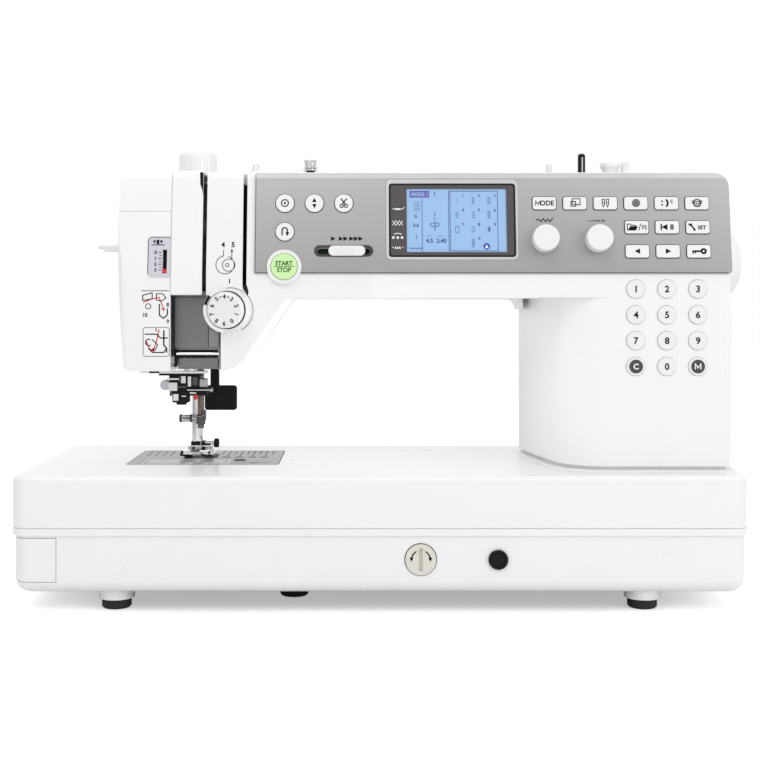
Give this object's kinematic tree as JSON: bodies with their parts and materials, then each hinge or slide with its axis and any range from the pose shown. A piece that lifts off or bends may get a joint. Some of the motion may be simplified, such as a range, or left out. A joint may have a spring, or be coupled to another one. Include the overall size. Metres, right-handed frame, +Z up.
{
  "type": "sewing machine",
  "caption": "Flatbed computerised sewing machine with a control panel, display, tension dial, needle and presser bars, handwheel, hook drive and folding handle.",
  "frame": {"origin": "on the floor plane under the middle of the overall box", "axes": "+Z up, front faces -Y, +X to the handwheel side"},
  "size_m": [0.5394, 0.195, 0.336],
  "materials": {
    "white_shell": "smooth satin-gloss moulded plastic",
    "silver_panel": "satin silver",
    "grey_plastic": "satin dark grey",
    "black_plastic": "satin black",
    "rubber": "matt black",
    "cast_metal": "cast, machined faces",
    "steel": "brushed",
    "chrome": "polished",
    "clear": "clear plastic",
    "button_white": "satin",
    "start_green": "satin pale green",
    "beige": "satin beige",
    "red": "red marker",
    "board": "green circuit board",
    "lens": "milky lens"
  },
  "bodies": {
    "root": {"bed_base": "white_shell", "bed_cover": "white_shell", "bed_end_cap": "white_shell", "feet": "rubber", "main_frame": "cast_metal", "front_cover": "white_shell", "rear_cover": "white_shell", "head_cap": "white_shell", "face_cover": "white_shell", "take_up_cover": "white_shell", "control_panel": "silver_panel", "display": "grey_plastic", "circuit_board": "board", "needle_plate": "steel", "spool_pin": "button_white", "thread_guides": "chrome", "winder_stopper": "button_white", "lamp": "lens", "bobbin_case": "black_plastic", "drive_belts": "rubber", "motor": "cast_metal", "knee_socket": "black_plastic", "power_inlet": "black_plastic", "screws": "steel"},
    "wheel": {"handwheel": "white_shell", "upper_shaft": "steel"},
    "lower_drive": {"lower_shaft": "steel"},
    "hook": {"hook": "steel"},
    "rotor": {"motor_pulley": "steel"},
    "needle_unit": {"needle_bar": "chrome", "needle_clamp": "chrome", "needle": "chrome"},
    "take_up": {"take_up_lever": "chrome"},
    "presser": {"presser_bar": "chrome", "foot_holder": "black_plastic"},
    "foot": {"presser_foot": "chrome"},
    "lifter": {"lifter_lever": "black_plastic"},
    "threader": {"threader": "black_plastic"},
    "bobbin_lid": {"bobbin_cover": "clear"},
    "bobbin": {"bobbin": "clear"},
    "tension": {"tension_dial": "button_white"},
    "feed_balance": {"feed_dial": "beige"},
    "pressure": {"pressure_dial": "white_shell"},
    "marker": {"pressure_marker": "red"},
    "handle": {"carry_handle": "white_shell"},
    "spool_stop": {"spool_cap": "button_white"},
    "winder": {"winder_spindle": "grey_plastic"},
    "speed": {"speed_slider": "button_white"},
    "width": {"width_knob": "button_white"},
    "length": {"length_knob": "button_white"},
    "switch": {"power_switch": "black_plastic"},
    "feed": {"feed_dog": "steel"},
    "start": {"start_button": "start_green"},
    "lock": {"lock_button": "button_white"},
    "needle_up": {"needle_button": "button_white"},
    "cutter": {"cutter_button": "button_white"},
    "reverse": {"reverse_button": "button_white"},
    "keys_top": {"function_keys_top": "button_white"},
    "keys_side": {"function_keys_side": "button_white"},
    "keys_number": {"number_keys": "button_white"}
  },
  "joints": [
    {"name": "wheel_turn", "type": "hinge", "parent": "root", "child": "wheel", "pos_m": [0.25875, 0.012, 0.2485], "axis": [1, 0, 0], "continuous": true},
    {"name": "lower_shaft_turn", "type": "hinge", "parent": "root", "child": "lower_drive", "pos_m": [-0.01125, -0.008, 0.045], "axis": [1, 0, 0], "continuous": true},
    {"name": "hook_turn", "type": "hinge", "parent": "root", "child": "hook", "pos_m": [-0.15725, -0.008, 0.06], "axis": [0, 0, 1], "continuous": true},
    {"name": "motor_turn", "type": "hinge", "parent": "root", "child": "rotor", "pos_m": [0.17875, 0.043, 0.126], "axis": [1, 0, 0], "continuous": true},
    {"name": "needle_bar_slide", "type": "slide", "parent": "root", "child": "needle_unit", "axis": [0, 0, 1], "range_m": [-0.012, 0.021]},
    {"name": "take_up_swing", "type": "hinge", "parent": "root", "child": "take_up", "pos_m": [-0.13825, 0.01, 0.262], "axis": [1, 0, 0], "range_deg": [0, 60]},
    {"name": "presser_lift", "type": "slide", "parent": "root", "child": "presser", "axis": [0, 0, 1], "range_m": [0, 0.007]},
    {"name": "foot_tilt", "type": "hinge", "parent": "presser", "child": "foot", "pos_m": [-0.14925, 0.02, 0.1029], "axis": [1, 0, 0], "range_deg": [-2, 2]},
    {"name": "lifter_swing", "type": "hinge", "parent": "root", "child": "lifter", "pos_m": [-0.14245, 0.041, 0.175], "axis": [0, -1, 0], "range_deg": [0, 40]},
    {"name": "threader_slide", "type": "slide", "parent": "root", "child": "threader", "axis": [0, 0, -1], "range_m": [0, 0.028], "stiffness_N_per_m": 30, "springref_m": -0.02},
    {"name": "bobbin_lid_lift", "type": "slide", "parent": "root", "child": "bobbin_lid", "axis": [0, 0, 1], "range_m": [0, 0.012]},
    {"name": "bobbin_spin", "type": "hinge", "parent": "root", "child": "bobbin", "pos_m": [-0.15725, -0.008, 0.071], "axis": [0, 0, 1], "continuous": true},
    {"name": "tension_turn", "type": "hinge", "parent": "root", "child": "tension", "pos_m": [-0.11925, -0.068, 0.2122], "axis": [-0.2079, -0.9781, 0], "range_deg": [-144, 180]},
    {"name": "feed_balance_turn", "type": "hinge", "parent": "root", "child": "feed_balance", "pos_m": [0.01715, -0.09, 0.0382], "axis": [0, -1, 0], "range_deg": [-60, 60]},
    {"name": "pressure_turn", "type": "hinge", "parent": "root", "child": "pressure", "pos_m": [-0.15315, 0.022, 0.32], "axis": [0, 0, 1], "range_deg": [0, 270]},
    {"name": "marker_slide", "type": "slide", "parent": "root", "child": "marker", "axis": [0, 0.1392, 0.9903], "range_m": [0, 0.013]},
    {"name": "handle_swing", "type": "hinge", "parent": "root", "child": "handle", "pos_m": [0.02875, 0.073, 0.299], "axis": [1, 0, 0], "range_deg": [0, 180]},
    {"name": "spool_cap_slide", "type": "slide", "parent": "root", "child": "spool_stop", "axis": [-1, 0, 0], "range_m": [-0.02, 0.012]},
    {"name": "winder_spin", "type": "hinge", "parent": "root", "child": "winder", "pos_m": [0.14885, 0.01, 0.32], "axis": [0, 0, 1], "continuous": true},
    {"name": "speed_slide", "type": "slide", "parent": "root", "child": "speed", "axis": [1, 0, 0], "range_m": [-0.0095, 0.005]},
    {"name": "width_turn", "type": "hinge", "parent": "root", "child": "width", "pos_m": [0.10795, -0.06456, 0.26246], "axis": [0, -0.9903, 0.1392], "continuous": true},
    {"name": "length_turn", "type": "hinge", "parent": "root", "child": "length", "pos_m": [0.14635, -0.06456, 0.26246], "axis": [0, -0.9903, 0.1392], "continuous": true},
    {"name": "switch_rock", "type": "hinge", "parent": "root", "child": "switch", "pos_m": [0.23475, 0.034, 0.1554], "axis": [0, -1, 0], "range_deg": [-8, 8]},
    {"name": "feed_lift", "type": "slide", "parent": "root", "child": "feed", "axis": [0, 0, 1], "range_m": [-0.0025, 0.0003]},
    {"name": "start_press", "type": "slide", "parent": "root", "child": "start", "axis": [0, 0.9903, -0.1392], "range_m": [0, 0.0008], "stiffness_N_per_m": 300},
    {"name": "lock_press", "type": "slide", "parent": "root", "child": "lock", "axis": [0, 0.9903, -0.1392], "range_m": [0, 0.0008], "stiffness_N_per_m": 300},
    {"name": "needle_up_press", "type": "slide", "parent": "root", "child": "needle_up", "axis": [0, 0.9903, -0.1392], "range_m": [0, 0.0008], "stiffness_N_per_m": 300},
    {"name": "cutter_press", "type": "slide", "parent": "root", "child": "cutter", "axis": [0, 0.9903, -0.1392], "range_m": [0, 0.0008], "stiffness_N_per_m": 300},
    {"name": "reverse_press", "type": "slide", "parent": "root", "child": "reverse", "axis": [0, 0.9903, -0.1392], "range_m": [0, 0.0008], "stiffness_N_per_m": 300},
    {"name": "keys_top_press", "type": "slide", "parent": "root", "child": "keys_top", "axis": [0, 0.9903, -0.1392], "range_m": [0, 0.0008], "stiffness_N_per_m": 600},
    {"name": "keys_side_press", "type": "slide", "parent": "root", "child": "keys_side", "axis": [0, 0.9903, -0.1392], "range_m": [0, 0.0008], "stiffness_N_per_m": 600},
    {"name": "keys_number_press", "type": "slide", "parent": "root", "child": "keys_number", "axis": [0, 1, 0], "range_m": [0, 0.0008], "stiffness_N_per_m": 600}
  ],
  "couplings": [
    {"joint": "lower_shaft_turn", "follows": "wheel_turn", "ratio": 1},
    {"joint": "hook_turn", "follows": "wheel_turn", "ratio": -2},
    {"joint": "motor_turn", "follows": "wheel_turn", "ratio": 2},
    {"joint": "lifter_swing", "follows": "presser_lift", "rad_per_m": 99.7},
    {"joint": "marker_slide", "follows": "pressure_turn", "m_per_rad": 0.002757}
  ]
}
